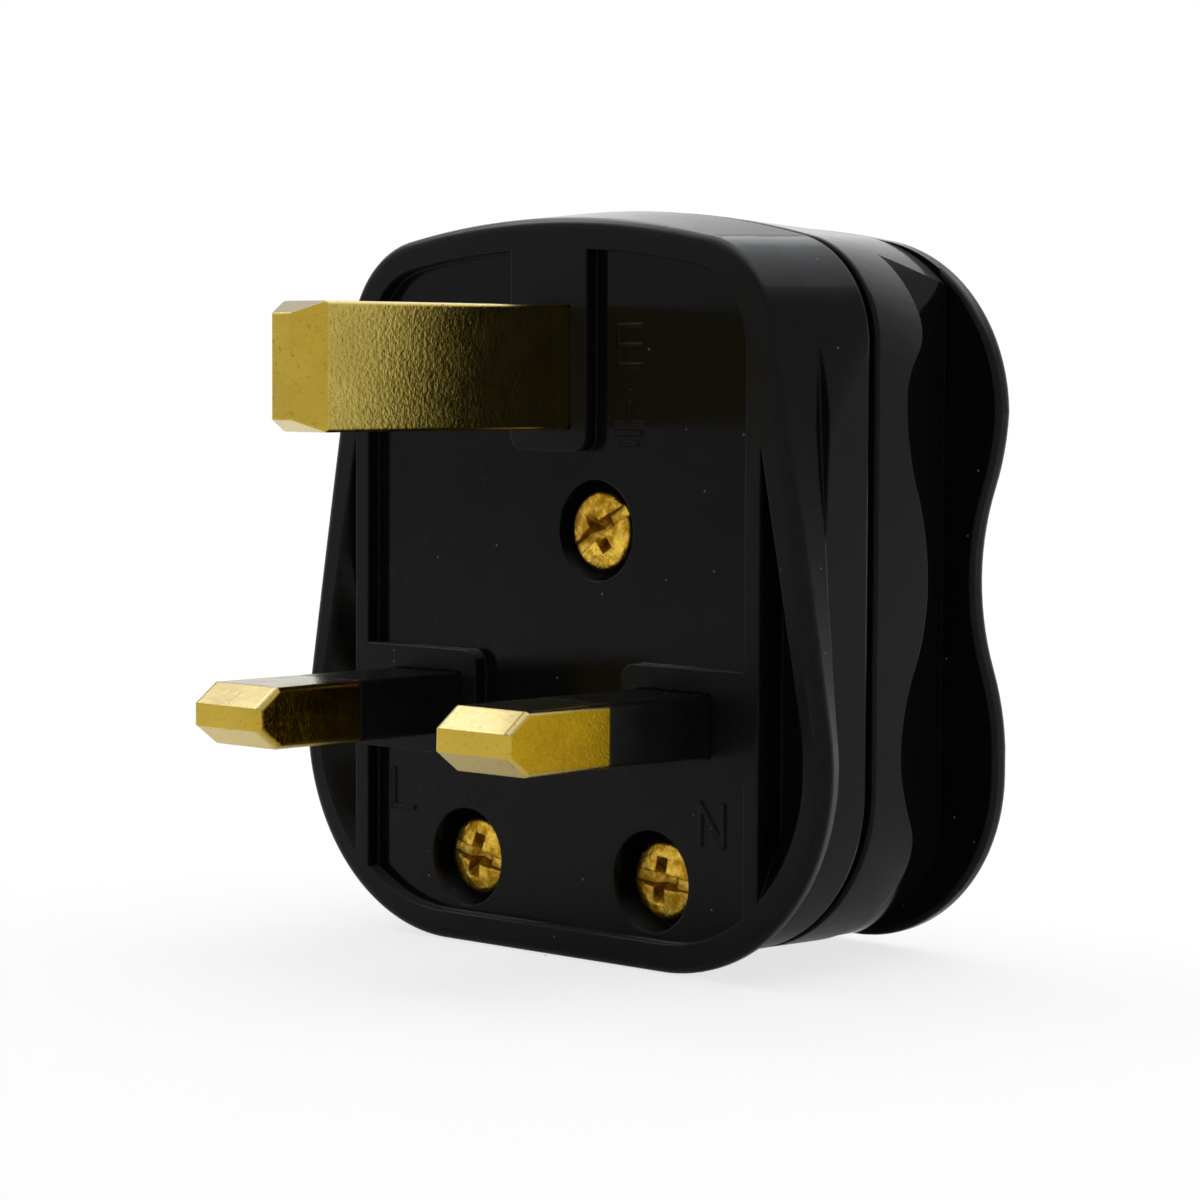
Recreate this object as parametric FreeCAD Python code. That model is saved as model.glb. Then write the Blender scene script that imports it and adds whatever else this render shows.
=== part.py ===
import FreeCAD, Part
import math
import os

# Rewirable three pin mains plug, in millimetres.
# X points to the neutral side, Y from the pins into the body, Z up towards the earth pin.
# The origin lies on the engagement face, midway between the live and neutral pins.

# Pins
pin_half_pitch = 11.115
earth_rise = 22.23
line_width = 6.35
line_thickness = 3.97
line_length = 17.7
line_tip_thickness = 1.45
line_tip_chamfer = 1.7
earth_width = 3.97
earth_height = 7.92
earth_length = 22.73
earth_tip_width = 1.75
earth_tip_height = 6.4
earth_tip_chamfer = 1.95
line_edge_round = 0.4
earth_edge_round = 0.25
sleeve_length = 9.0
sleeve_wall = 0.65
sleeve_root = 1.6
pin_fit = 0.03

# Rim outline, around the pins' line at Z = 0
rim_half_width = 23.7
rim_taper = 0.2
rim_drop = 15.98
rim_rise = 31.75
rim_bottom_radius = 13.9
rim_top_radius = 7.0
crown_radius = 70.0
rim_round = 0.75

# The rim's rear edge: less tapered, and on a plane that leans back towards the top
rim_rear_depth = 3.1
rim_rear_half_width = 22.57
rim_rear_taper = 0.106
rim_rear_top_lift = 0.3
rim_rear_bottom_radius = 13.2
rim_rear_top_radius = 7.0
rim_thickness = 1.94
rim_lean = 0.055

# Recessed panel with its border strips, pads and side pockets
rim_land = 1.9
recess_depth = 1.0
pocket_depth = 2.2
pocket_waist_depth = 1.5
pocket_half_width = 19.7
pocket_taper = 0.1
pocket_margin = 0.6
strip_inner = 17.0
strip_width = 1.2
earth_pad_half_width = 3.4
earth_pad_drop = 5.38
line_pad_reach = 4.5
line_pad_half_height = 3.5
pad_corner_radius = 1.0

# Raised polarity letters and the earth sign
mark_height = 0.15
mark_stroke = 0.32
letter_width = 1.9
letter_height = 2.5
neutral_letter_x = 13.6
live_letter_x = -14.45
line_letter_z = -6.3
earth_letter_x = 6.35
earth_letter_z = 23.6
sign_top = 18.7
sign_step = 0.65
sign_half_width = 1.25
sign_shrink = 0.32

# Body behind the rim, up to the split line
body_half_width = 21.3
body_bottom_step = 0.88
body_top_lift = 0.65
body_bottom_radius = 11.0
body_front_top_radius = 13.0
body_split_top_radius = 7.0
split_depth = 6.6
split_round = 0.3
wall = 2.2
floor_depth = 3.2

# Cover
groove_width = 0.8
groove_depth = 0.7
cover_depth = 20.0
back_flare = 1.1
back_bottom_step = 0.58
back_top_step = 0.65
back_bottom_radius = 11.5
back_top_radius = 11.5
back_wall = 1.9
back_round = 0.9
flange_thickness = 1.7
flange_round = 0.4
finger_depth = 3.35
neck_bottom_step = 0.5
neck_top_excess = 0.62
neck_bottom_radius = 9.0
neck_top_radius = 5.5
neck_wall = 1.6
ring_cavity_depth = 1.6
wave_middle = 8.7
wave_half_pitch = 11.65
ring_crest_depth = 12.6
ring_top_valley_depth = 10.4
ring_bottom_valley_depth = 10.1
ring_bottom_valley_rise = 0.65
ring_top_end_pitch = 5.6
ring_bottom_end_pitch = 8.0
waist_depth = 2.05
waist_margin = 0.02

# Screws through the face
cover_screw_x = 3.38
cover_screw_z = 11.75
clamp_screw_x = 8.36
clamp_screw_z = -10.4
screw_head_radius = 2.58
screw_head_height = 1.5
screw_head_dome = 0.45
screw_head_round = 0.4
screw_shank_radius = 1.5
screw_hole_clearance = 0.15
counterbore_clearance = 0.67
cover_screw_sink = 0.05
clamp_screw_sink = 0.75
recess_arm_width = 1.0
recess_arm_length = 3.4
recess_arm_depth = 1.4
recess_point_width = 0.6
driver_slot_width = 0.8
driver_slot_depth = 0.65
cover_screw_turn = 33.0
left_clamp_screw_turn = -13.0
right_clamp_screw_turn = -6.0
cover_screw_grip = 5.4
boss_wall = 0.9
insert_wall = 0.7
insert_length = 6.0
post_wall = 1.05
thread_fit = 0.05

# Cord entry and clamp
cord_radius = 3.4
cord_depth = 6.2
clamp_half_height = 2.1
clamp_crown = 1.7
clamp_clearance = 0.1

# Fuse, clips and terminals
fuse_length = 25.4
fuse_radius = 3.175
fuse_cap_length = 6.3
fuse_cap_wall = 0.2
fuse_tube_bore = 1.75
fuse_wire_radius = 0.2
clip_thickness = 0.6
clip_height = 5.4
clip_clearance = 0.03
bay_clearance = 0.1
clip_mouth_angle = 50.0
clip_foot_half_width = 2.4
rivet_radius = 1.1
rivet_depth = 1.2
head_plate_thickness = 1.6
head_plate_half_width = 3.9
head_plate_half_height = 3.6
terminal_half_width = 3.4
terminal_depth = 7.0
line_terminal_height = 8.4
live_terminal_height = 4.2
live_terminal_gap = 0.7
earth_terminal_height = 9.2
wire_hole_radius = 1.6
wire_hole_depth = 3.0
terminal_screw_radius = 1.4
terminal_screw_head_radius = 2.3
terminal_screw_head_height = 1.3
terminal_slot_width = 0.6
terminal_slot_depth = 0.6

# Slack by which cutters run past the faces that they open, and the match of points that coincide
overrun = 5.0
tolerance = 1e-6

Vec = FreeCAD.Vector
INTO_BODY = Vec(0, 1, 0)
UP = Vec(0, 0, 1)


class Outline:
    """A closed outline in an XZ plane: flat bottom, leaning sides, crowned top, rounded corners."""

    def __init__(self, half_width, taper, drop, rise, bottom_radius, top_radius):
        self.half_width = half_width
        self.taper = taper
        self.drop = drop
        self.rise = rise
        self.bottom_radius = bottom_radius
        self.top_radius = top_radius

    def wire(self, y, inset=0.0):
        lean = math.atan(self.taper)
        across = Vec(math.cos(lean), 0, math.sin(lean))
        along = Vec(-math.sin(lean), 0, math.cos(lean))
        reach = self.half_width * math.cos(lean) - inset
        bottom = inset - self.drop
        low_radius = self.bottom_radius - inset
        high_radius = self.top_radius - inset
        crown = crown_radius - inset
        crown_centre = Vec(0, 0, self.rise - crown_radius)

        low_z = bottom + low_radius
        low_centre = Vec((reach - low_radius - low_z * across.z) / across.x, 0, low_z)
        low_angle = (lean - math.pi / 2) / 2
        low_middle = low_centre + Vec(math.cos(low_angle), 0, math.sin(low_angle)) * low_radius

        start = across * (reach - high_radius) - crown_centre
        drift = start.dot(along)
        climb = math.sqrt(drift ** 2 - start.dot(start) + (crown - high_radius) ** 2) - drift
        high_centre = across * (reach - high_radius) + along * climb
        to_crown = (high_centre - crown_centre).normalize()
        high_middle = high_centre + (across + to_crown).normalize() * high_radius

        floor_end = Vec(low_centre.x, 0, bottom)
        side_low = low_centre + across * low_radius
        side_high = high_centre + across * high_radius
        crown_end = crown_centre + to_crown * crown
        apex = Vec(0, 0, crown_centre.z + crown)

        def at(point, side=1):
            return Vec(side * point.x, y, point.z)

        edges = [
            Part.LineSegment(at(floor_end, -1), at(floor_end)),
            Part.Arc(at(floor_end), at(low_middle), at(side_low)),
            Part.LineSegment(at(side_low), at(side_high)),
            Part.Arc(at(side_high), at(high_middle), at(crown_end)),
            Part.Arc(at(crown_end), at(apex), at(crown_end, -1)),
            Part.Arc(at(crown_end, -1), at(high_middle, -1), at(side_high, -1)),
            Part.LineSegment(at(side_high, -1), at(side_low, -1)),
            Part.Arc(at(side_low, -1), at(low_middle, -1), at(floor_end, -1)),
        ]
        return Part.Wire([edge.toShape() for edge in edges])

    def prism(self, front, back, inset=0.0):
        return Part.Face(self.wire(front, inset)).extrude(INTO_BODY * (back - front))


pocket_inset = rim_land + pocket_margin
shoulder_height = (rim_rear_half_width - body_half_width) / rim_rear_taper
back_half_width = body_half_width + back_flare
neck_half_width = body_half_width - finger_depth
waist_half_width = back_half_width - waist_depth
body_drop = rim_drop - body_bottom_step
body_rise = rim_rise + body_top_lift
back_drop = rim_drop - back_bottom_step
back_rise = body_rise - back_top_step
neck_drop = rim_drop - neck_bottom_step
neck_rise = body_rise + neck_top_excess

RIM = Outline(rim_half_width, rim_taper, rim_drop, rim_rise, rim_bottom_radius, rim_top_radius)
RIM_REAR = Outline(rim_rear_half_width, rim_rear_taper, rim_drop, rim_rise + rim_rear_top_lift,
                   rim_rear_bottom_radius, rim_rear_top_radius)
POCKET = Outline(pocket_half_width, pocket_taper, rim_drop - pocket_inset, rim_rise - pocket_inset,
                 rim_bottom_radius - pocket_inset, rim_top_radius - pocket_inset)
BODY_FRONT = Outline(body_half_width, 0.0, body_drop, rim_rise, body_bottom_radius, body_front_top_radius)
BODY_SPLIT = Outline(body_half_width, 0.0, body_drop, body_rise, body_bottom_radius, body_split_top_radius)
BACK = Outline(back_half_width, 0.0, back_drop, back_rise, back_bottom_radius, back_top_radius)
CORE = Outline(body_half_width, 0.0, back_drop, back_rise, back_bottom_radius, back_top_radius)
NECK = Outline(neck_half_width, 0.0, neck_drop, neck_rise, neck_bottom_radius, neck_top_radius)
CHAMBER = Outline(neck_half_width, 0.0, neck_drop, back_rise, neck_bottom_radius, neck_top_radius)


# Places that several pieces share
strip_outer = strip_inner + strip_width
earth_pad_foot = earth_rise - earth_pad_drop
line_pad_inner = pin_half_pitch - line_pad_reach
counterbore_radius = screw_head_radius + counterbore_clearance
insert_radius = screw_shank_radius + thread_fit + insert_wall
ring_front = split_depth + groove_width
flange_front = cover_depth - flange_thickness
fuse_axis_x = -pin_half_pitch
clip_back = floor_depth + head_plate_thickness
clip_bore = fuse_radius + clip_clearance
fuse_axis_y = clip_back + clip_thickness + clip_clearance + fuse_radius
fuse_bottom = -fuse_cap_length / 2
fuse_top = fuse_bottom + fuse_length
upper_clip_z = fuse_top - fuse_cap_length / 2
terminal_back = floor_depth + terminal_depth
chamber_back = cover_depth - back_wall
cover_head_seat = recess_depth + cover_screw_sink + screw_head_dome + screw_head_height
clamp_head_seat = recess_depth + clamp_screw_sink + screw_head_dome + screw_head_height
clamp_back = cord_depth + cord_radius + clamp_clearance + clamp_crown
widest = 2 * max(rim_half_width, body_half_width, back_half_width)
tallest = rim_drop + rim_rise


def box(x_range, y_range, z_range):
    corner = Vec(x_range[0], y_range[0], z_range[0])
    return Part.makeBox(x_range[1] - x_range[0], y_range[1] - y_range[0], z_range[1] - z_range[0], corner)


def centred_box(x, half_x, y_range, z, half_z):
    return box((x - half_x, x + half_x), y_range, (z - half_z, z + half_z))


def rod(x, z, radius, front, back):
    return Part.makeCylinder(radius, back - front, Vec(x, front, z), INTO_BODY)


def upright(x, y, radius, low, high):
    return Part.makeCylinder(radius, high - low, Vec(x, y, low), UP)


def edges_along(shape, direction, keep=lambda middle: True):
    """Straight edges of a shape that run along a direction."""
    chosen = []
    for edge in shape.Edges:
        run = edge.lastVertex().Point - edge.firstVertex().Point
        if isinstance(edge.Curve, Part.Line) and run.normalize().cross(direction).Length < tolerance:
            if keep(edge.CenterOfMass):
                chosen.append(edge)
    return chosen


def edges_at_depth(shape, y):
    """Edges of a shape that lie in the plane at a depth."""
    return [edge for edge in shape.Edges if all(abs(v.Point.y - y) < tolerance for v in edge.Vertexes)]


def swell(start, end, place):
    """Two tangent arcs from start to end, both given as (offset, height), level at each end."""
    offset, rise = end[0] - start[0], end[1] - start[1]
    radius = (rise ** 2 + offset ** 2) / (4 * abs(offset))
    half_turn = math.asin(abs(rise) / 2 / radius) / 2
    bulge = math.copysign(radius * (1 - math.cos(half_turn)), offset)
    step = math.copysign(radius * math.sin(half_turn), rise)
    middle = ((start[0] + end[0]) / 2, (start[1] + end[1]) / 2)
    first = Part.Arc(place(start), place((start[0] + bulge, start[1] + step)), place(middle))
    second = Part.Arc(place(middle), place((end[0] - bulge, end[1] - step)), place(end))
    return [first.toShape(), second.toShape()]


def wave_region(points, outside, place):
    """Face between a wavy line through the points and a straight line at the offset outside."""
    edges = []
    for start, end in zip(points, points[1:]):
        edges += swell(start, end, place)
    corners = [points[-1], (outside, points[-1][1]), (outside, points[0][1]), points[0]]
    for start, end in zip(corners, corners[1:]):
        edges.append(Part.LineSegment(place(start), place(end)).toShape())
    return Part.Face(Part.Wire(edges))


def bar(start, end, front, back, width):
    """A raised straight stroke between two (x, z) points."""
    run = Vec(end[0] - start[0], 0, end[1] - start[1])
    ends = (run * 1).normalize() * (width / 2)
    side = Vec(-ends.z, 0, ends.x)
    low = Vec(start[0], front, start[1]) - ends
    high = Vec(end[0], front, end[1]) + ends
    wire = Part.makePolygon([low - side, high - side, high + side, low + side, low - side])
    return Part.Face(wire).extrude(INTO_BODY * (back - front))


def rim_wedge():
    """Half space in front of the leaning plane that ends the rim."""
    low, high = -rim_drop - overrun, rim_rise + overrun
    corners = [(-overrun, low), (rim_thickness + rim_lean * low, low),
               (rim_thickness + rim_lean * high, high), (-overrun, high), (-overrun, low)]
    wire = Part.makePolygon([Vec(-widest, y, z) for y, z in corners])
    return Part.Face(wire).extrude(Vec(2 * widest, 0, 0))


def rounded_pad(x_range, z_range, radius, keep):
    """Block in front of the panel with some of its upright corners rounded."""
    pad = box(x_range, (-overrun, recess_depth + overrun), z_range)
    return pad.makeFillet(radius, edges_along(pad, INTO_BODY, keep))


def face_recess():
    """What is taken out of the front face between the border strips, around the pads."""
    recess = RIM.prism(-overrun, recess_depth, rim_land)
    recess = recess.common(box((-strip_inner, strip_inner), (-overrun, recess_depth), (-tallest, tallest)))
    pads = [rounded_pad((-earth_pad_half_width, earth_pad_half_width), (earth_pad_foot, rim_rise + overrun),
                        pad_corner_radius, lambda middle: middle.z < earth_rise)]
    for side in (-1, 1):
        pad_range = sorted((side * line_pad_inner, side * strip_outer))
        pads.append(rounded_pad(pad_range, (-line_pad_half_height, line_pad_half_height),
                                pad_corner_radius, lambda middle: abs(middle.x) < pin_half_pitch))
    return recess.cut(pads)


def side_pockets():
    """Hollows between the border strips and the rim, drawn in behind the rim to leave the body its wall."""
    mouths = [RIM.wire(depth, rim_land) for depth in (-overrun, 0)]
    feet = [POCKET.wire(depth) for depth in (pocket_waist_depth, pocket_depth)]
    hollow = Part.makeLoft(mouths + feet, True, True)
    return hollow.cut(box((-strip_outer, strip_outer), (-2 * overrun, pocket_depth + overrun),
                          (-tallest, tallest)))


def letter_box(x, z):
    """Left, right, foot and top of a letter centred on a point."""
    return x - letter_width / 2, x + letter_width / 2, z - letter_height / 2, z + letter_height / 2


def face_marks():
    """Raised polarity letters and the earth sign on the panel."""
    left, right, foot, top = letter_box(neutral_letter_x, line_letter_z)
    strokes = [((left, foot), (left, top)), ((left, top), (right, foot)), ((right, foot), (right, top))]
    left, right, foot, top = letter_box(live_letter_x, line_letter_z)
    strokes += [((left, top), (left, foot)), ((left, foot), (right, foot))]
    left, right, foot, top = letter_box(earth_letter_x, earth_letter_z)
    strokes.append(((left, foot), (left, top)))
    strokes += [((left, z), (right, z)) for z in (foot, earth_letter_z, top)]
    strokes.append(((earth_letter_x, sign_top), (earth_letter_x, sign_top + letter_height / 2)))
    for row in range(3):
        z = sign_top - row * sign_step
        half = sign_half_width - row * sign_shrink
        strokes.append(((earth_letter_x - half, z), (earth_letter_x + half, z)))
    front, back = recess_depth - mark_height, recess_depth + mark_height
    return [bar(start, end, front, back, mark_stroke) for start, end in strokes]


def line_pin_hole(x):
    """Opening in the base for a sleeved pin: the sleeve's root in front, the bare core behind."""
    half_x, half_z = line_width / 2 + pin_fit, line_thickness / 2 + pin_fit
    sleeve = centred_box(x, half_x, (-overrun, sleeve_root), 0, half_z)
    core = centred_box(x, half_x - sleeve_wall, (-overrun, floor_depth + overrun), 0, half_z - sleeve_wall)
    return sleeve.fuse(core)


def screw_boss(x, z, seat):
    boss = rod(x, z, counterbore_radius + boss_wall, recess_depth, split_depth)
    hole = rod(x, z, counterbore_radius, -overrun, seat)
    hole = hole.fuse(rod(x, z, screw_shank_radius + screw_hole_clearance, -overrun, split_depth + overrun))
    return boss, hole


def cord_way():
    return upright(0, cord_depth, cord_radius, -rim_drop - overrun, clamp_screw_z + clamp_half_height)


def base_body():
    """Body behind the rim: upright sides that go over, in the upper corners, into the rim's rear edge."""
    split = BODY_SPLIT.wire(split_depth)
    sides = Part.makeLoft([BODY_FRONT.wire(0), BODY_FRONT.wire(rim_rear_depth), split], True, True)
    flush = Part.makeLoft([RIM_REAR.wire(0), RIM_REAR.wire(rim_rear_depth), split], True, True)
    upper = box((-widest, widest), (-overrun, split_depth + overrun), (shoulder_height, tallest))
    return sides.fuse(flush.common(upper)).removeSplitter()


def make_base():
    rim = Part.makeLoft([RIM.wire(0), RIM_REAR.wire(rim_rear_depth),
                         BODY_SPLIT.wire(split_depth)], True, True)
    rim = rim.makeFillet(rim_round, edges_at_depth(rim, 0))
    body = base_body()
    wedge = rim_wedge()
    base = rim.common(wedge).fuse(body.cut(wedge))

    base = base.cut(face_recess()).cut(side_pockets())
    base = base.cut(BODY_SPLIT.prism(floor_depth, split_depth + overrun, wall))
    screws = [(cover_screw_x, cover_screw_z, cover_head_seat)]
    screws += [(side * clamp_screw_x, clamp_screw_z, clamp_head_seat) for side in (-1, 1)]
    bosses, holes = zip(*[screw_boss(*place) for place in screws])
    inside = body.common(box((-widest, widest), (recess_depth, split_depth), (-tallest, tallest)))
    base = base.fuse([boss.common(inside) for boss in bosses])
    base = base.fuse(face_marks())
    earth_hole = centred_box(0, earth_width / 2 + pin_fit, (-overrun, floor_depth + overrun),
                             earth_rise, earth_height / 2 + pin_fit)
    base = base.cut(list(holes) + [earth_hole, cord_way()])
    base = base.cut([line_pin_hole(side * pin_half_pitch) for side in (-1, 1)])
    return base.removeSplitter()


def finger_grooves():
    """What is taken out around the cover's neck, between the ring and the back flange."""
    low = wave_middle - wave_half_pitch + ring_bottom_valley_rise
    high = wave_middle + wave_half_pitch
    foot = low - ring_bottom_end_pitch
    top = high + ring_top_end_pitch
    points = [(ring_crest_depth, foot), (ring_bottom_valley_depth, low), (ring_crest_depth, wave_middle),
              (ring_top_valley_depth, high), (ring_crest_depth, top)]
    region = wave_region(points, flange_front, lambda point: Vec(-widest, point[0], point[1]))
    grooves = region.extrude(Vec(2 * widest, 0, 0))
    ends = [(-2 * tallest, foot), (top, 2 * tallest)]
    grooves = grooves.fuse([box((-widest, widest), (ring_crest_depth, flange_front), end) for end in ends])
    return grooves.removeSplitter().cut(NECK.prism(0, cover_depth + overrun))


def waist(side):
    """What is taken out of one side of the back flange to give it its hourglass outline."""
    lobe = back_half_width + waist_margin
    points = [(lobe, wave_middle - wave_half_pitch), (waist_half_width, wave_middle),
              (lobe, wave_middle + wave_half_pitch)]
    front = ring_crest_depth + (cover_depth - ring_crest_depth) / 2
    region = wave_region(points, widest, lambda point: Vec(side * point[0], front, point[1]))
    return region.extrude(INTO_BODY * (cover_depth - front + overrun))


def make_flange():
    """Waisted plate at the back, round at both edges, flush with the neck above and below."""
    plate = BACK.prism(flange_front, cover_depth)
    flush = plate.common(NECK.prism(flange_front, flange_front + flange_round))
    flange = plate.cut([waist(-1), waist(1)])
    flange = flange.makeFillet(back_round, edges_at_depth(flange, cover_depth))
    flange = flange.makeFillet(flange_round, edges_at_depth(flange, flange_front))
    return flange.fuse(flush)


def live_terminal_range():
    low = fuse_top + live_terminal_gap
    return low, low + live_terminal_height


def fuse_bay():
    """Room that the cover leaves around the fuse in its clips and the live terminal above it."""
    low, high = live_terminal_range()
    reach = clip_bore + clip_thickness + bay_clearance
    across = terminal_half_width + bay_clearance
    fuse_room = upright(fuse_axis_x, fuse_axis_y, reach, fuse_bottom - bay_clearance, low)
    terminal_room = box((fuse_axis_x - across, fuse_axis_x + across),
                        (floor_depth, terminal_back + bay_clearance), (low, high + bay_clearance))
    return fuse_room.fuse(terminal_room)


def make_cover():
    shell = Part.makeLoft([BODY_SPLIT.wire(ring_front), CORE.wire(flange_front)], True, True)
    shell = shell.makeFillet(split_round, edges_at_depth(shell, ring_front))
    shell = shell.cut(finger_grooves())
    shell = shell.fuse(make_flange()).fuse(BODY_SPLIT.prism(split_depth, ring_front, groove_depth))
    shell = shell.cut(CHAMBER.prism(split_depth - overrun, chamber_back, neck_wall))
    shell = shell.cut(BODY_SPLIT.prism(split_depth - overrun, split_depth + ring_cavity_depth, wall))
    shell = shell.cut(fuse_bay())
    post = rod(cover_screw_x, cover_screw_z, insert_radius + post_wall, split_depth, chamber_back)
    socket = rod(cover_screw_x, cover_screw_z, insert_radius + pin_fit, split_depth - overrun,
                 split_depth + insert_length)
    shell = shell.fuse(post).cut([socket, cord_way()])
    return shell.removeSplitter()


def tapered_tip(x, z, half_x, half_z, tip_half_x, tip_half_z, tip, root):
    """Frustum from the pin's end face to its full section."""
    def ring(y, wide, high):
        signs = ((-1, -1), (1, -1), (1, 1), (-1, 1), (-1, -1))
        return Part.makePolygon([Vec(x + sx * wide, y, z + sz * high) for sx, sz in signs])
    return Part.makeLoft([ring(tip, tip_half_x, tip_half_z), ring(root, half_x, half_z)], True, True)


def screw_seat(x, z, back):
    """Threaded hole for a terminal screw, and the wire hole that it crosses."""
    deepest = back - wire_hole_depth - wire_hole_radius
    return rod(x, z, terminal_screw_radius + thread_fit, deepest, back + overrun)


def make_line_pin(x):
    half_x, half_z, tip_half = line_width / 2, line_thickness / 2, line_tip_thickness / 2
    shoulder = -line_length + line_tip_chamfer
    corners = [(-line_length, -tip_half), (-line_length, tip_half), (shoulder, half_z),
               (-sleeve_length, half_z), (-sleeve_length, -half_z), (shoulder, -half_z),
               (-line_length, -tip_half)]
    side = Part.Face(Part.makePolygon([Vec(x - half_x, y, z) for y, z in corners]))
    blade = side.extrude(Vec(line_width, 0, 0))
    sharp = [edge for edge in blade.Edges if abs(edge.CenterOfMass.x - x) > half_x / 2
             and edge.CenterOfMass.y < -sleeve_length - pin_fit]
    blade = blade.makeFillet(line_edge_round, sharp)
    core = centred_box(x, half_x - sleeve_wall, (-sleeve_length, floor_depth), 0, half_z - sleeve_wall)
    return blade.fuse(core)


def make_sleeve(x):
    half_x, half_z = line_width / 2, line_thickness / 2
    sleeve = centred_box(x, half_x, (-sleeve_length, sleeve_root), 0, half_z)
    sleeve = sleeve.makeFillet(line_edge_round, edges_along(sleeve, INTO_BODY))
    return sleeve.cut(centred_box(x, half_x - sleeve_wall, (-line_length, overrun), 0, half_z - sleeve_wall))


def make_earth_pin():
    half_x, half_z = earth_width / 2, earth_height / 2
    shoulder = -earth_length + earth_tip_chamfer
    pin = centred_box(0, half_x, (shoulder, floor_depth), earth_rise, half_z)
    tip = tapered_tip(0, earth_rise, half_x, half_z, earth_tip_width / 2, earth_tip_height / 2,
                      -earth_length, shoulder)
    pin = pin.fuse(tip).removeSplitter()
    pin = pin.makeFillet(earth_edge_round, edges_along(pin, INTO_BODY))
    block = centred_box(0, terminal_half_width, (floor_depth, terminal_back),
                        earth_rise, earth_terminal_height / 2)
    block = block.cut(upright(0, terminal_back - wire_hole_depth, wire_hole_radius, 0, tallest))
    block = block.cut(screw_seat(0, earth_rise, terminal_back))
    return pin.fuse(block).removeSplitter()


def make_neutral_pin():
    low = -head_plate_half_height
    block = box((pin_half_pitch - terminal_half_width, pin_half_pitch + terminal_half_width),
                (floor_depth, terminal_back), (low, low + line_terminal_height))
    wire_hole = upright(pin_half_pitch, terminal_back - wire_hole_depth, wire_hole_radius, -tallest, tallest)
    block = block.cut([wire_hole, screw_seat(pin_half_pitch, neutral_screw_z(), terminal_back)])
    return make_line_pin(pin_half_pitch).fuse(block).removeSplitter()


def neutral_screw_z():
    return line_terminal_height / 2 - head_plate_half_height


def rivet_hole(z):
    return rod(fuse_axis_x, z, rivet_radius, clip_back - rivet_depth, clip_back + overrun)


def make_live_pin():
    plate = centred_box(fuse_axis_x, head_plate_half_width, (floor_depth, clip_back),
                        0, head_plate_half_height)
    return make_line_pin(fuse_axis_x).fuse(plate.cut(rivet_hole(0))).removeSplitter()


def make_live_terminal():
    low, high = live_terminal_range()
    across = (fuse_axis_x - terminal_half_width, fuse_axis_x + terminal_half_width)
    plate = box(across, (floor_depth, clip_back), (upper_clip_z - clip_height / 2, low))
    block = box(across, (floor_depth, terminal_back), (low, high))
    middle = (low + high) / 2
    hole_start = Vec(-widest, terminal_back - wire_hole_depth, middle)
    wire_hole = Part.makeCylinder(wire_hole_radius, widest, hole_start, Vec(1, 0, 0))
    block = block.cut([wire_hole, screw_seat(fuse_axis_x, middle, terminal_back)])
    return plate.cut(rivet_hole(upper_clip_z)).fuse(block).removeSplitter()


def make_fuse_clip(z):
    low, high = z - clip_height / 2, z + clip_height / 2
    outer = clip_bore + clip_thickness
    clip = upright(fuse_axis_x, fuse_axis_y, outer, low, high)
    foot = box((fuse_axis_x - clip_foot_half_width, fuse_axis_x + clip_foot_half_width),
               (clip_back, fuse_axis_y), (low, high))
    clip = clip.fuse(foot).cut(upright(fuse_axis_x, fuse_axis_y, clip_bore, low - overrun, high + overrun))
    spread = math.radians(clip_mouth_angle)
    far = outer + overrun
    corners = [Vec(fuse_axis_x, fuse_axis_y, low - overrun)]
    for side in (-1, 1):
        corners.append(corners[0] + Vec(side * math.sin(spread) * far, math.cos(spread) * far, 0))
    mouth = Part.Face(Part.makePolygon(corners + corners[:1])).extrude(UP * (clip_height + 2 * overrun))
    return clip.cut(mouth).cut(rivet_hole(z)).removeSplitter()


def make_clip_rivet(z):
    rivet = rod(fuse_axis_x, z, rivet_radius, clip_back - rivet_depth, fuse_axis_y)
    return rivet.cut(upright(fuse_axis_x, fuse_axis_y, clip_bore, z - clip_height, z + clip_height))


def make_fuse_cap(end, inward):
    """Cup over one end of the fuse; inward is +1 for the lower cap and -1 for the upper one."""
    low, high = sorted((end, end + inward * fuse_cap_length))
    cup = upright(fuse_axis_x, fuse_axis_y, fuse_radius, low, high)
    inner_end = end + inward * fuse_cap_wall
    inner_low, inner_high = sorted((inner_end, inner_end + inward * fuse_cap_length))
    return cup.cut(upright(fuse_axis_x, fuse_axis_y, fuse_radius - fuse_cap_wall, inner_low, inner_high))


def make_fuse_tube():
    low, high = fuse_bottom + fuse_cap_wall, fuse_top - fuse_cap_wall
    tube = upright(fuse_axis_x, fuse_axis_y, fuse_radius - fuse_cap_wall, low, high)
    return tube.cut(upright(fuse_axis_x, fuse_axis_y, fuse_tube_bore, low, high))


def make_fuse_wire():
    low, high = fuse_bottom + fuse_cap_wall, fuse_top - fuse_cap_wall
    return upright(fuse_axis_x, fuse_axis_y, fuse_wire_radius, low, high)


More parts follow.
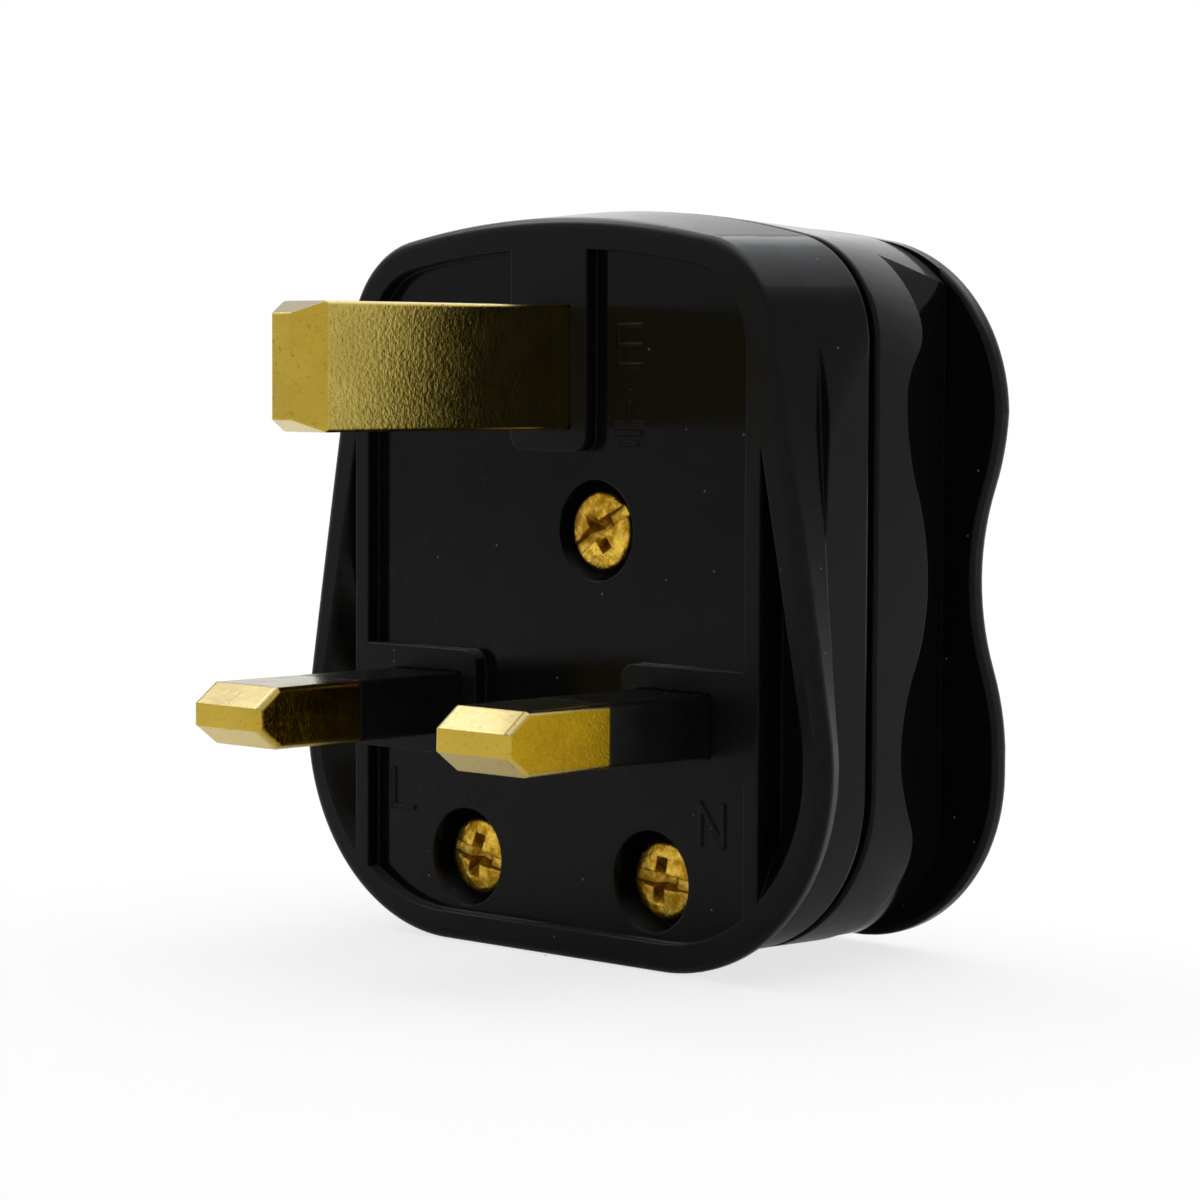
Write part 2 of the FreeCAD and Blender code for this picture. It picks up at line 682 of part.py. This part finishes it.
def make_face_screw(x, z, seat, length, turn):
    """Domed brass screw with a cross recess and a slot across it; the head lies in front of its seat."""
    head_front = seat - screw_head_height
    crown = head_front - screw_head_dome
    rim_point = Vec(screw_head_radius, head_front, 0)
    middle_radius = screw_head_radius / 2
    dome_radius = (screw_head_radius ** 2 + screw_head_dome ** 2) / (2 * screw_head_dome)
    middle_rise = dome_radius - math.sqrt(dome_radius ** 2 - middle_radius ** 2)
    dome = Part.Arc(Vec(0, crown, 0), Vec(middle_radius, crown + middle_rise, 0), rim_point).toShape()
    corners = [rim_point, Vec(screw_head_radius, seat, 0), Vec(screw_shank_radius, seat, 0),
               Vec(screw_shank_radius, seat + length, 0), Vec(0, seat + length, 0), Vec(0, crown, 0)]
    sides = [Part.LineSegment(a, b).toShape() for a, b in zip(corners, corners[1:])]
    screw = Part.Face(Part.Wire([dome] + sides)).revolve(Vec(0, 0, 0), INTO_BODY, 360)
    screw = screw.makeFillet(screw_head_round, edges_at_depth(screw, head_front))
    arms = []
    for half_x, half_z in ((recess_arm_length, recess_arm_width), (recess_arm_width, recess_arm_length)):
        arms.append(tapered_tip(0, 0, recess_point_width / 2, recess_point_width / 2, half_x / 2, half_z / 2,
                                crown, crown + recess_arm_depth))
    slot = centred_box(0, screw_head_radius + overrun, (crown - overrun, crown + driver_slot_depth),
                       0, driver_slot_width / 2)
    screw = screw.cut(arms + [slot])
    screw.rotate(Vec(0, 0, 0), INTO_BODY, -turn)
    screw.translate(Vec(x, 0, z))
    return screw


def make_cover_insert():
    bush = rod(cover_screw_x, cover_screw_z, insert_radius, split_depth, split_depth + insert_length)
    return bush.cut(rod(cover_screw_x, cover_screw_z, screw_shank_radius + thread_fit, 0, cover_depth))


def make_cord_clamp():
    bar_block = centred_box(0, clamp_screw_x, (split_depth, clamp_back), clamp_screw_z, clamp_half_height)
    ends = [rod(side * clamp_screw_x, clamp_screw_z, clamp_half_height, split_depth, clamp_back)
            for side in (-1, 1)]
    clamp = bar_block.fuse(ends).removeSplitter()
    clamp = clamp.cut(upright(0, cord_depth, cord_radius + clamp_clearance, -tallest, tallest))
    holes = [rod(side * clamp_screw_x, clamp_screw_z, screw_shank_radius + thread_fit, 0, cover_depth)
             for side in (-1, 1)]
    return clamp.cut(holes)


def make_terminal_screw(x, z):
    shank_front = terminal_back - wire_hole_depth + wire_hole_radius
    shank = rod(x, z, terminal_screw_radius, shank_front, terminal_back)
    head_back = terminal_back + terminal_screw_head_height
    head = rod(x, z, terminal_screw_head_radius, terminal_back, head_back)
    slot_range = (head_back - terminal_slot_depth, head_back + overrun)
    slot = centred_box(x, terminal_screw_head_radius + overrun, slot_range, z, terminal_slot_width / 2)
    return shank.fuse(head).removeSplitter().cut(slot)


def write(name, shape):
    solid = shape.Solids[0] if len(shape.Solids) == 1 else shape
    print(name, "solids", len(shape.Solids), "valid", shape.isValid(), "volume", round(shape.Volume, 2))
    solid.exportStep("parts/" + name + ".step")


def main():
    os.makedirs("parts", exist_ok=True)
    write("base", make_base())
    write("cover", make_cover())
    write("earth_pin", make_earth_pin())
    write("neutral_pin", make_neutral_pin())
    write("live_pin", make_live_pin())
    write("neutral_sleeve", make_sleeve(pin_half_pitch))
    write("live_sleeve", make_sleeve(-pin_half_pitch))
    write("live_terminal", make_live_terminal())
    for level, z in (("lower", 0.0), ("upper", upper_clip_z)):
        write("fuse_clip_" + level, make_fuse_clip(z))
        write("clip_rivet_" + level, make_clip_rivet(z))
    write("fuse_cap_lower", make_fuse_cap(fuse_bottom, 1))
    write("fuse_cap_upper", make_fuse_cap(fuse_top, -1))
    write("fuse_tube", make_fuse_tube())
    write("fuse_wire", make_fuse_wire())
    write("cover_screw", make_face_screw(cover_screw_x, cover_screw_z, cover_head_seat,
                                         split_depth + cover_screw_grip - cover_head_seat,
                                         cover_screw_turn))
    write("cover_insert", make_cover_insert())
    write("cord_clamp", make_cord_clamp())
    for side, name, turn in ((-1, "left", left_clamp_screw_turn), (1, "right", right_clamp_screw_turn)):
        screw = make_face_screw(side * clamp_screw_x, clamp_screw_z, clamp_head_seat,
                                clamp_back - clamp_head_seat, turn)
        write("cord_clamp_screw_" + name, screw)
    live_low, live_high = live_terminal_range()
    write("live_terminal_screw", make_terminal_screw(fuse_axis_x, (live_low + live_high) / 2))
    write("neutral_terminal_screw", make_terminal_screw(pin_half_pitch, neutral_screw_z()))
    write("earth_terminal_screw", make_terminal_screw(0, earth_rise))


main()
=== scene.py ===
import math

import bpy
from mathutils import Matrix, Vector


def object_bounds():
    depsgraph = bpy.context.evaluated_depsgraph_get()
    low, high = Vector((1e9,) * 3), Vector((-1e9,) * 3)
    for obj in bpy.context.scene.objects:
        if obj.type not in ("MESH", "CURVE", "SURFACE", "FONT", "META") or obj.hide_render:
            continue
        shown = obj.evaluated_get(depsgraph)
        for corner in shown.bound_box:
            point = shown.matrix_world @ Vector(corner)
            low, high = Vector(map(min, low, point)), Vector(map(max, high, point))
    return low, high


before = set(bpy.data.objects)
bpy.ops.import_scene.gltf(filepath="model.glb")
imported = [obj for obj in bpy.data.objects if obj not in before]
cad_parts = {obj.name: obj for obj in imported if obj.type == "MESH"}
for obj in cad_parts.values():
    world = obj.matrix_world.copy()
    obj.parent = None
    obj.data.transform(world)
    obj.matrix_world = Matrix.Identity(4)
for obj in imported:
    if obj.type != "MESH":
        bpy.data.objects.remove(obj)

MM = 0.001
cad_low, cad_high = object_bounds()
floor_height = cad_low.z
middle = (cad_low + cad_high) / 2

# The stretch that most values of a noise lie in
NOISE_LOW = 0.3
NOISE_HIGH = 0.7


class Graph:
    """A material's nodes, wired from short calls."""

    bevel_samples = 6
    crevice_samples = 8

    def __init__(self, name):
        self.material = bpy.data.materials.new(name)
        self.material.use_nodes = True
        self.tree = self.material.node_tree
        self.shader = self.tree.nodes["Principled BSDF"]
        self.place = self.add("ShaderNodeTexCoord").outputs["Object"]
        self.normal = self.add("ShaderNodeNewGeometry").outputs["Normal"]

    def add(self, kind, inputs=None, **settings):
        node = self.tree.nodes.new(kind)
        for key, value in settings.items():
            setattr(node, key, value)
        for key, value in (inputs or {}).items():
            self.feed(node.inputs[key], value)
        return node

    def feed(self, socket, value):
        if isinstance(value, bpy.types.NodeSocket):
            self.tree.links.new(value, socket)
        else:
            socket.default_value = value

    def math(self, operation, first, second=0.0, third=0.0):
        node = self.add("ShaderNodeMath", {0: first, 1: second, 2: third}, operation=operation)
        return node.outputs[0]

    def noise(self, size, detail=2.0, roughness=0.5, stretch=(1, 1, 1), distortion=0.0):
        """Noise between 0 and 1 whose blobs are about this many metres across."""
        place = self.place
        if stretch != (1, 1, 1):
            place = self.add("ShaderNodeMapping", {"Vector": place, "Scale": stretch}).outputs[0]
        node = self.add("ShaderNodeTexNoise", {"Vector": place, "Scale": 1 / size, "Detail": detail,
                                               "Roughness": roughness, "Distortion": distortion})
        return node.outputs["Fac"]

    def span(self, value, low, high, out_low=0.0, out_high=1.0):
        """Carries the stretch low..high of a value over to out_low..out_high, clamped."""
        node = self.add("ShaderNodeMapRange", {"Value": value, "From Min": low, "From Max": high,
                                               "To Min": out_low, "To Max": out_high})
        return node.outputs["Result"]

    def spread(self, noise, out_low, out_high):
        """Carries a noise over to out_low..out_high."""
        return self.span(noise, NOISE_LOW, NOISE_HIGH, out_low, out_high)

    def blend(self, share, first, second):
        node = self.add("ShaderNodeMix", data_type="RGBA")
        share_socket, first_socket, second_socket = node.inputs[0], node.inputs[6], node.inputs[7]
        self.feed(share_socket, share)
        for socket, value in ((first_socket, first), (second_socket, second)):
            self.feed(socket, value if isinstance(value, bpy.types.NodeSocket) else (*value, 1.0))
        return node.outputs[2]

    def soft_edges(self, radius):
        return self.add("ShaderNodeBevel", {"Radius": radius}, samples=self.bevel_samples).outputs[0]

    def bump(self, height, depth, strength, normal=None):
        """Relief of a depth in metres, on top of an earlier normal."""
        inputs = {"Height": height, "Distance": depth, "Strength": strength}
        if normal is not None:
            inputs["Normal"] = normal
        return self.add("ShaderNodeBump", inputs).outputs[0]

    def axis(self, vector, name):
        return self.add("ShaderNodeSeparateXYZ", {0: vector}).outputs[name]

    def crevice(self, reach):
        """1 on open faces, towards 0 in corners and holes narrower than the reach."""
        node = self.add("ShaderNodeAmbientOcclusion", {"Distance": reach}, samples=self.crevice_samples)
        return node.outputs["AO"]

    def finish(self, **values):
        for key, value in values.items():
            self.feed(self.shader.inputs[key.replace("_", " ")], value)
        return self.material


def specks(graph, spacing, size, share):
    """1 on small round grains scattered over the surface, else 0."""
    cells = graph.add("ShaderNodeTexVoronoi", {"Vector": graph.place, "Scale": 1 / spacing})
    near = graph.span(cells.outputs["Distance"], size / spacing, 0.5 * size / spacing)
    picked = graph.math("GREATER_THAN", graph.axis(cells.outputs["Color"], "X"), 1 - share)
    return graph.math("MULTIPLY", near, picked)


def black_plastic(name, edge_radius):
    """Glossy black moulding: satin where the face touches the socket, a few scuffs, dust specks, and a
    painted grey sheen on what looks up.
    """
    deep_black = (0.0030, 0.0030, 0.0030)
    soft_black = (0.0052, 0.0050, 0.0047)
    rubbed_black = (0.0085, 0.0082, 0.0078)
    painted_top_sheen_grey = (0.052, 0.055, 0.059)
    dust_grey = (0.16, 0.13, 0.10)
    face_start, face_end = 0.02 * MM, 0.4 * MM
    scuff_low, scuff_high = 0.62, 0.72
    top_sheen_low, top_sheen_high = 0.35, 0.9
    rubbed_share = 0.5
    rubbed_gloss, scuff_gloss, dust_gloss = 0.24, 0.10, 0.5
    wave_depth, wave_strength = 0.05 * MM, 0.3
    grain_depth, grain_strength, rubbed_grain = 0.004 * MM, 0.12, 0.5

    graph = Graph(name)
    depth = graph.math("ABSOLUTE", graph.axis(graph.place, "Y"))
    worn = graph.span(depth, face_end, face_start)
    dust = specks(graph, spacing=0.8 * MM, size=0.1 * MM, share=0.06)
    cloud = graph.noise(6 * MM, detail=4.0, roughness=0.6)
    streaks = graph.noise(1.6 * MM, detail=5.0, roughness=0.7, stretch=(1, 1, 0.12), distortion=0.6)
    scuff = graph.span(streaks, scuff_low, scuff_high)
    edges = graph.soft_edges(edge_radius)
    # painted sheen: faces and edge tops that turn upwards are lifted towards grey, standing in for highlights
    # from the overhead light
    painted_top_sheen = graph.span(graph.axis(edges, "Z"), top_sheen_low, top_sheen_high)
    tone = graph.blend(cloud, deep_black, soft_black)
    tone = graph.blend(graph.math("MULTIPLY", worn, rubbed_share), tone, rubbed_black)
    tone = graph.blend(painted_top_sheen, tone, painted_top_sheen_grey)
    tone = graph.blend(dust, tone, dust_grey)
    gloss = graph.spread(cloud, 0.09, 0.15)
    for mark, extra in ((worn, rubbed_gloss), (scuff, scuff_gloss), (dust, dust_gloss)):
        gloss = graph.math("MULTIPLY_ADD", mark, extra, gloss)
    normal = graph.bump(graph.noise(9 * MM, detail=1.0), wave_depth, wave_strength, edges)
    grain = graph.math("MULTIPLY_ADD", worn, rubbed_grain, grain_strength)
    normal = graph.bump(graph.noise(0.22 * MM), grain_depth, grain, normal)
    return graph.finish(Base_Color=tone, Roughness=gloss, Normal=normal, Specular_IOR_Level=0.085)


def sleeve_plastic():
    """Satin black insulation shrunk on the pins."""
    deep_black = (0.0035, 0.0035, 0.0035)
    soft_black = (0.0065, 0.0063, 0.006)
    dust_grey = (0.14, 0.135, 0.125)
    edge_radius = 0.2 * MM
    grain_depth, grain_strength = 0.006 * MM, 0.3

    graph = Graph("sleeve_plastic")
    cloud = graph.noise(3 * MM, detail=3.0)
    tone = graph.blend(cloud, deep_black, soft_black)
    tone = graph.blend(specks(graph, spacing=1.6 * MM, size=0.06 * MM, share=0.3), tone, dust_grey)
    normal = graph.bump(graph.noise(0.3 * MM), grain_depth, grain_strength, graph.soft_edges(edge_radius))
    return graph.finish(Base_Color=tone, Roughness=graph.spread(cloud, 0.24, 0.36), Normal=normal,
                        Specular_IOR_Level=0.15)


def clamp_plastic():
    """Matt grey-black moulding inside."""
    dark_grey = (0.012, 0.012, 0.012)
    light_grey = (0.022, 0.0215, 0.021)
    edge_radius = 0.2 * MM
    grain_depth, grain_strength = 0.01 * MM, 0.4

    graph = Graph("clamp_plastic")
    cloud = graph.noise(2 * MM, detail=3.0)
    tone = graph.blend(cloud, dark_grey, light_grey)
    normal = graph.bump(graph.noise(0.4 * MM), grain_depth, grain_strength, graph.soft_edges(edge_radius))
    return graph.finish(Base_Color=tone, Roughness=graph.spread(cloud, 0.4, 0.55), Normal=normal,
                        Specular_IOR_Level=0.3)


def pin_brass(name, side_light, side_dark, relief_size, relief_depth, swirl):
    """Stamped brass: a fine relief and warmer lacquer on its sides, bright grain on its end, painted shade on
    its upper slopes and a painted pale reflection on its lower slopes.
    """
    end_light = (0.55, 0.39, 0.06)
    end_dark = (0.47, 0.32, 0.035)
    upper_slope_painted_shade = (0.33, 0.265, 0.115)
    lower_slope_painted_reflection = (0.58, 0.44, 0.12)
    fleck_brown = (0.20, 0.12, 0.02)
    side_low, side_high = 0.90, 0.985
    slope_low, slope_high = 0.25, 0.55
    cloud_low, cloud_high = 0.3, 0.72
    fleck_low, fleck_high, fleck_share = 0.60, 0.74, 0.6
    edge_radius = 0.2 * MM
    relief_strength, side_relief = 0.1, 0.75
    grain_depth, grain_strength = 0.014 * MM, 0.6

    graph = Graph(name)
    side = graph.span(graph.math("ABSOLUTE", graph.axis(graph.normal, "X")), side_low, side_high)
    rise = graph.axis(graph.normal, "Z")
    cloud = graph.span(graph.noise(4 * MM, detail=4.0, roughness=0.6), cloud_low, cloud_high)
    bright = graph.blend(cloud, end_light, end_dark)
    # painted light: upward slopes get a dull brown tone as painted shade, downward slopes a pale tone as a
    # painted reflection
    bright = graph.blend(graph.span(rise, slope_low, slope_high), bright, upper_slope_painted_shade)
    bright = graph.blend(graph.span(rise, -slope_low, -slope_high), bright, lower_slope_painted_reflection)
    tone = graph.blend(side, bright, graph.blend(cloud, side_light, side_dark))
    fleck = graph.span(graph.noise(0.3 * MM, roughness=0.6), fleck_low, fleck_high)
    tone = graph.blend(graph.math("MULTIPLY", fleck, fleck_share), tone, fleck_brown)
    gloss = graph.spread(graph.noise(1.2 * MM, detail=3.0), 0.15, 0.23)
    relief = graph.noise(relief_size, detail=3.0, roughness=0.65, distortion=swirl)
    strength = graph.math("MULTIPLY_ADD", side, side_relief, relief_strength)
    normal = graph.bump(relief, relief_depth, strength, graph.soft_edges(edge_radius))
    grain = graph.noise(0.22 * MM, detail=3.0, roughness=0.7)
    normal = graph.bump(grain, grain_depth, grain_strength, normal)
    return graph.finish(Base_Color=tone, Metallic=1.0, Roughness=gloss, Normal=normal)


def screw_brass():
    """Handled brass screw: mottled on its rubbed crown, with painted shade darkening the cross and the rim.
    """
    bright_brass = (0.80, 0.52, 0.07)
    dull_brass = (0.36, 0.18, 0.006)
    shade_brown = (0.12, 0.062, 0.008)
    mottle_low, mottle_high = 0.40, 0.60
    shade_reach, shade_low, shade_high = 0.9 * MM, 0.85, 0.40
    shade_share, crevice_gloss = 0.8, 0.2
    edge_radius = 0.25 * MM
    dent_depth, dent_strength = 0.12 * MM, 0.8
    grain_depth, grain_strength = 0.01 * MM, 0.4

    graph = Graph("screw_brass")
    cloud = graph.noise(0.9 * MM, detail=4.0, roughness=0.65)
    tone = graph.blend(graph.span(cloud, mottle_low, mottle_high), bright_brass, dull_brass)
    # painted shade: the crevice mask darkens the colour towards brown in the cross and around the rim
    crevice_shade = graph.span(graph.crevice(shade_reach), shade_low, shade_high)
    tone = graph.blend(graph.math("MULTIPLY", crevice_shade, shade_share), tone, shade_brown)
    gloss = graph.math("MULTIPLY_ADD", crevice_shade, crevice_gloss, graph.spread(cloud, 0.22, 0.36))
    normal = graph.bump(graph.noise(0.8 * MM), dent_depth, dent_strength, graph.soft_edges(edge_radius))
    normal = graph.bump(graph.noise(0.25 * MM, roughness=0.6), grain_depth, grain_strength, normal)
    return graph.finish(Base_Color=tone, Metallic=1.0, Roughness=gloss, Normal=normal)


def plain_metal(name, light, dark, low_gloss, high_gloss, grain_size, grain_stretch):
    """Drawn or plated metal with a light grain, with painted shade darkening its corners."""
    shade_reach, shade_low, shade_high, shade_tone = 0.5 * MM, 0.8, 0.4, 0.3
    edge_radius = 0.12 * MM
    grain_depth, grain_strength = 0.008 * MM, 0.4

    graph = Graph(name)
    cloud = graph.noise(2 * MM, detail=3.0, roughness=0.6)
    tone = graph.blend(graph.spread(cloud, 0.0, 1.0), light, dark)
    # painted shade: the crevice mask darkens the colour in corners and holes
    crevice_shade = graph.span(graph.crevice(shade_reach), shade_low, shade_high)
    tone = graph.blend(crevice_shade, tone, tuple(shade_tone * part for part in dark))
    gloss = graph.spread(cloud, low_gloss, high_gloss)
    grain = graph.noise(grain_size, roughness=0.6, stretch=grain_stretch)
    normal = graph.bump(grain, grain_depth, grain_strength, graph.soft_edges(edge_radius))
    return graph.finish(Base_Color=tone, Metallic=1.0, Roughness=gloss, Normal=normal)


def ceramic():
    """Glazed off-white fuse tube with a speckle in the glaze."""
    cream = (0.62, 0.58, 0.49)
    pale_cream = (0.72, 0.68, 0.60)
    speckle_brown = (0.35, 0.30, 0.24)
    wave_depth, wave_strength = 0.02 * MM, 0.2

    graph = Graph("ceramic")
    cloud = graph.noise(3 * MM, detail=3.0)
    tone = graph.blend(cloud, cream, pale_cream)
    tone = graph.blend(specks(graph, spacing=1.2 * MM, size=0.08 * MM, share=0.4), tone, speckle_brown)
    normal = graph.bump(graph.noise(1.5 * MM), wave_depth, wave_strength)
    return graph.finish(Base_Color=tone, Roughness=graph.spread(cloud, 0.18, 0.28), Normal=normal)


def stage_white():
    """White paper that keeps the object's shadow and shows as white in the background."""
    paper_grey = (0.86, 0.86, 0.86)
    paper_white = (0.90, 0.90, 0.90)
    shadow_radius, open_radius = 0.15, 0.7
    shadow_share, open_share = 0.75, 1.0
    floor_radius, wall_radius = 1.0, 1.4
    floor_mirrored, wall_mirrored = 0.2, 0.8

    graph = Graph("stage_white")
    tree = graph.tree
    path = graph.add("ShaderNodeLightPath").outputs
    mirrored = graph.math("MAXIMUM", path["Is Glossy Ray"], path["Is Transmission Ray"])
    reach = graph.add("ShaderNodeVectorMath", {0: graph.place}, operation="LENGTH").outputs["Value"]
    seen_share = graph.span(reach, shadow_radius, open_radius, shadow_share, open_share)
    mirrored_share = graph.span(reach, floor_radius, wall_radius, floor_mirrored, wall_mirrored)
    share = graph.math("MULTIPLY", path["Is Camera Ray"], seen_share)
    share = graph.math("MULTIPLY_ADD", mirrored, mirrored_share, share)
    glow = graph.add("ShaderNodeEmission", {"Color": (1.0, 1.0, 1.0, 1.0), "Strength": 1.0})
    tone = graph.blend(graph.noise(1.5 * MM, detail=3.0), paper_grey, paper_white)
    graph.finish(Base_Color=tone, Roughness=0.9, Specular_IOR_Level=0.0)
    mix = graph.add("ShaderNodeMixShader", {0: share, 1: graph.shader.outputs[0], 2: glow.outputs[0]})
    tree.links.new(mix.outputs[0], tree.nodes["Material Output"].inputs["Surface"])
    return graph.material


def set_material(obj, material):
    obj.data.materials.clear()
    obj.data.materials.append(material)


FINISHES = {
    "base_plastic": black_plastic("base_plastic", edge_radius=0.2 * MM),
    "cover_plastic": black_plastic("cover_plastic", edge_radius=0.08 * MM),
    "sleeve_plastic": sleeve_plastic(),
    "earth_brass": pin_brass("earth_brass", side_light=(0.58, 0.455, 0.11), side_dark=(0.47, 0.36, 0.075),
                             relief_size=0.32 * MM, relief_depth=0.04 * MM, swirl=0.0),
    "line_brass": pin_brass("line_brass", side_light=(0.44, 0.28, 0.008), side_dark=(0.33, 0.19, 0.005),
                            relief_size=0.34 * MM, relief_depth=0.02 * MM, swirl=2.0),
    "screw_brass": screw_brass(),
    "spring_bronze": plain_metal("spring_bronze", light=(0.60, 0.36, 0.17), dark=(0.45, 0.25, 0.11),
                                 low_gloss=0.25, high_gloss=0.38,
                                 grain_size=0.3 * MM, grain_stretch=(1, 1, 0.15)),
    "plated_metal": plain_metal("plated_metal", light=(0.62, 0.61, 0.58), dark=(0.48, 0.47, 0.45),
                                low_gloss=0.2, high_gloss=0.35,
                                grain_size=0.3 * MM, grain_stretch=(1, 1, 1)),
    "fuse_metal": plain_metal("fuse_metal", light=(0.70, 0.69, 0.67), dark=(0.56, 0.55, 0.53),
                              low_gloss=0.16, high_gloss=0.28,
                              grain_size=0.4 * MM, grain_stretch=(1, 1, 0.2)),
    "ceramic": ceramic(),
    "clamp_plastic": clamp_plastic(),
}
FINISH_OF_NODE = {
    "base": "base_plastic",
    "cover": "cover_plastic",
    "earth_pin": "earth_brass",
    "neutral_pin": "line_brass",
    "live_pin": "line_brass",
    "neutral_sleeve": "sleeve_plastic",
    "live_sleeve": "sleeve_plastic",
    "live_terminal": "line_brass",
    "fuse_clip_lower": "spring_bronze",
    "fuse_clip_upper": "spring_bronze",
    "clip_rivet_lower": "screw_brass",
    "clip_rivet_upper": "screw_brass",
    "fuse_cap_lower": "fuse_metal",
    "fuse_cap_upper": "fuse_metal",
    "fuse_tube": "ceramic",
    "fuse_wire": "fuse_metal",
    "cover_screw": "screw_brass",
    "cover_insert": "screw_brass",
    "cord_clamp": "clamp_plastic",
    "cord_clamp_screw_left": "screw_brass",
    "cord_clamp_screw_right": "screw_brass",
    "live_terminal_screw": "plated_metal",
    "neutral_terminal_screw": "plated_metal",
    "earth_terminal_screw": "plated_metal",
}
for node, finish in FINISH_OF_NODE.items():
    set_material(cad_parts[node], FINISHES[finish])


def ring_mesh(name, rings, count=96):
    """A round sheet swept through rings given as radius and height."""
    points = []
    for radius, height in rings:
        for step in range(count):
            turn = 2 * math.pi * step / count
            points.append((radius * math.cos(turn), radius * math.sin(turn), height))
    faces = []
    for ring in range(len(rings) - 1):
        for step in range(count):
            after = (step + 1) % count
            faces.append((ring * count + step, ring * count + after,
                          (ring + 1) * count + after, (ring + 1) * count + step))
    mesh = bpy.data.meshes.new(name)
    mesh.from_pydata(points, [], faces)
    for face in mesh.polygons:
        face.use_smooth = True
    obj = bpy.data.objects.new(name, mesh)
    bpy.context.scene.collection.objects.link(obj)
    return obj


# Radius and height of the floor, its curve and the wall around it, in metres
cove = [(0.0001, 0.0), (1.15, 0.0), (1.25, 0.012), (1.33, 0.05), (1.38, 0.12), (1.4, 0.22), (1.4, 1.7)]
floor = ring_mesh("floor", [(radius, floor_height + height) for radius, height in cove])
set_material(floor, stage_white())


def area_light(name, place, target, size, power):
    lamp = bpy.data.lights.new(name, "AREA")
    lamp.shape = "RECTANGLE"
    lamp.size, lamp.size_y = size
    lamp.energy = power
    obj = bpy.data.objects.new(name, lamp)
    bpy.context.scene.collection.objects.link(obj)
    obj.location = place
    obj.rotation_euler = (Vector(target) - Vector(place)).to_track_quat("-Z", "Y").to_euler()


softbox_place = Vector((-0.15, 0.40, 0.78))
side_lamp_place = Vector((-0.62, -0.10, 0.66))
area_light("top_light", softbox_place, softbox_place - Vector((0, 0, 1)), size=(1.5, 1.2), power=11.5)
area_light("left_light", side_lamp_place, middle, size=(0.24, 0.24), power=1.1)

world = bpy.data.worlds.new("world")
world.use_nodes = True
sky = world.node_tree.nodes["Background"].inputs
sky["Color"].default_value = (0.5, 0.5, 0.5, 1.0)
sky["Strength"].default_value = 0.3
bpy.context.scene.world = world

# The camera's place and turn, matched to the pins' standard spacing as seen in the photograph
camera_place = Vector((167.086, -170.038, 22.83)) * MM
camera_forward = Vector((-0.68906, 0.72175, -0.06539)).normalized()
camera_level = Vector((0.72309, 0.69074, 0.00457))
camera_right = (camera_level - camera_forward * camera_level.dot(camera_forward)).normalized()
camera_up = camera_right.cross(camera_forward)
camera_data = bpy.data.cameras.new("camera")
camera_data.sensor_width = 36.0
camera_data.lens = 110.876
camera_data.clip_start = 10 * MM
camera = bpy.data.objects.new("camera", camera_data)
bpy.context.scene.collection.objects.link(camera)
camera_turn = Matrix((camera_right, camera_up, -camera_forward)).transposed()
camera.matrix_world = Matrix.Translation(camera_place) @ camera_turn.to_4x4()
bpy.context.scene.camera = camera

bpy.context.scene.view_settings.view_transform = "Standard"
